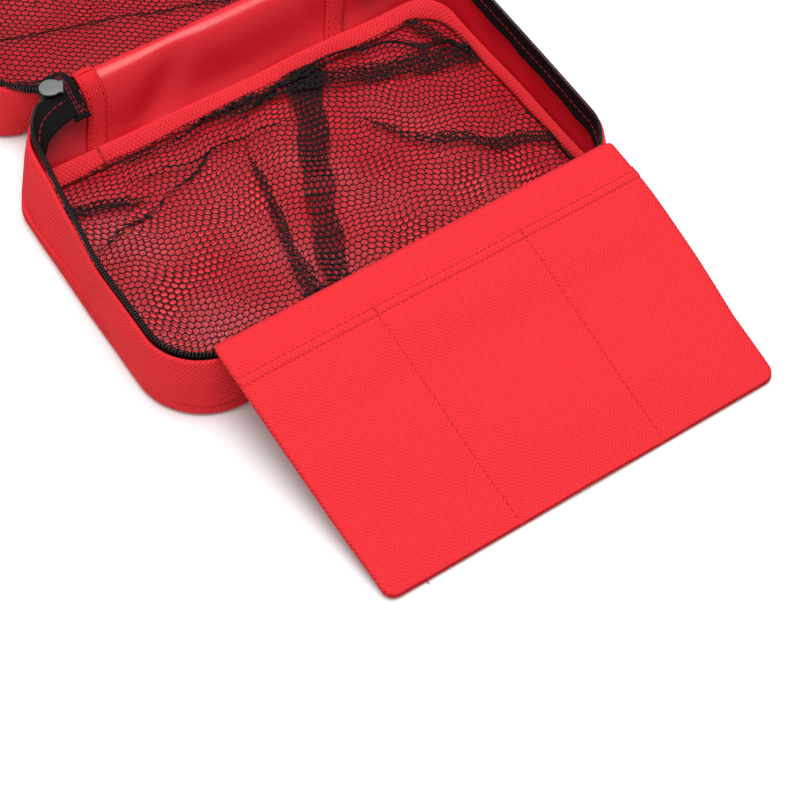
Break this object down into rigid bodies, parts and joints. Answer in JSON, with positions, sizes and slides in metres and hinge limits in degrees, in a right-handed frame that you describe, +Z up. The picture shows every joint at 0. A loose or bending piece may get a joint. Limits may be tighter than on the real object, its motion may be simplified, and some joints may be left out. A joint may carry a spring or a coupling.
{
  "type": "first aid kit",
  "caption": "Zip-around fabric first aid kit, open: shallow tray and matching lid with net pockets, and a fold-out front flap with pockets.",
  "frame": {"origin": "middle of the underside of the base's floor panel, on the surface that the kit lies on", "axes": "+Z up, +X along the long side, +Y from the front flap towards the lid"},
  "size_m": [0.218, 0.4356, 0.0323],
  "materials": {
    "red_oxford": "woven polyester oxford with a fine grain and soft sheen",
    "red_coated": "coated inside face of the fabric, glossy",
    "red_binding": "ribbed woven binding tape",
    "black_tape": "matt knitted zip tape with red stitching",
    "black_coil": "semi-gloss nylon coil",
    "black_net": "limp knitted net with hexagonal holes",
    "slider_metal": "grey lacquered zinc, satin"
  },
  "bodies": {
    "base": {"base_floor_panel": "red_oxford", "base_gusset": "red_oxford", "base_spine_panel": "red_coated", "base_spine_binding_left": "red_binding", "base_spine_binding_right": "red_binding", "base_floor_binding": "red_binding", "base_mesh_pocket": "black_net", "base_mesh_elastic": "black_net", "base_zip_tape": "black_tape", "base_zip_coil": "black_coil"},
    "lid": {"lid_top_panel": "red_oxford", "lid_gusset": "red_oxford", "lid_spine_panel": "red_coated", "lid_spine_binding_left": "red_binding", "lid_spine_binding_right": "red_binding", "lid_floor_binding": "red_binding", "lid_mesh_pocket": "black_net", "lid_mesh_elastic": "black_net", "lid_zip_tape": "black_tape", "lid_zip_coil": "black_coil"},
    "flap": {"flap_backing": "red_oxford", "flap_pocket_panel": "red_oxford", "flap_pocket_hem": "red_oxford", "flap_hinge_strip": "red_oxford"},
    "zip_end_left": {"zip_end_left": "black_tape"},
    "slider_left": {"slider_body_left": "slider_metal"},
    "pull_left": {"pull_tab_left": "slider_metal"},
    "zip_end_right": {"zip_end_right": "black_tape"},
    "slider_right": {"slider_body_right": "slider_metal"},
    "pull_right": {"pull_tab_right": "slider_metal"}
  },
  "joints": [
    {"name": "lid_hinge", "type": "hinge", "parent": "base", "child": "lid", "pos_m": [0, 0.095, 0.03], "axis": [1, 0, 0], "range_deg": [0, 179]},
    {"name": "flap_hinge", "type": "hinge", "parent": "base", "child": "flap", "pos_m": [0, -0.0585, 0.0205], "axis": [1, 0, 0], "range_deg": [-192, 0]},
    {"name": "zip_end_turn_left", "type": "hinge", "parent": "base", "child": "zip_end_left", "pos_m": [-0.078, 0.095, 0.03], "axis": [1, 0, 0], "range_deg": [0, 90]},
    {"name": "slider_travel_left", "type": "slide", "parent": "zip_end_left", "child": "slider_left", "axis": [1, 0, 0], "range_m": [0, 0.004]},
    {"name": "pull_swing_left", "type": "hinge", "parent": "slider_left", "child": "pull_left", "pos_m": [-0.078, 0.095, 0.0264], "axis": [0, 1, 0], "range_deg": [-50, 50]},
    {"name": "zip_end_turn_right", "type": "hinge", "parent": "base", "child": "zip_end_right", "pos_m": [0.078, 0.095, 0.03], "axis": [1, 0, 0], "range_deg": [0, 90]},
    {"name": "slider_travel_right", "type": "slide", "parent": "zip_end_right", "child": "slider_right", "axis": [-1, 0, 0], "range_m": [0, 0.004]},
    {"name": "pull_swing_right", "type": "hinge", "parent": "slider_right", "child": "pull_right", "pos_m": [0.078, 0.095, 0.0264], "axis": [0, 1, 0], "range_deg": [-50, 50]}
  ],
  "couplings": [
    {"joint": "zip_end_turn_left", "follows": "lid_hinge", "ratio": 0.5},
    {"joint": "zip_end_turn_right", "follows": "lid_hinge", "ratio": 0.5}
  ]
}
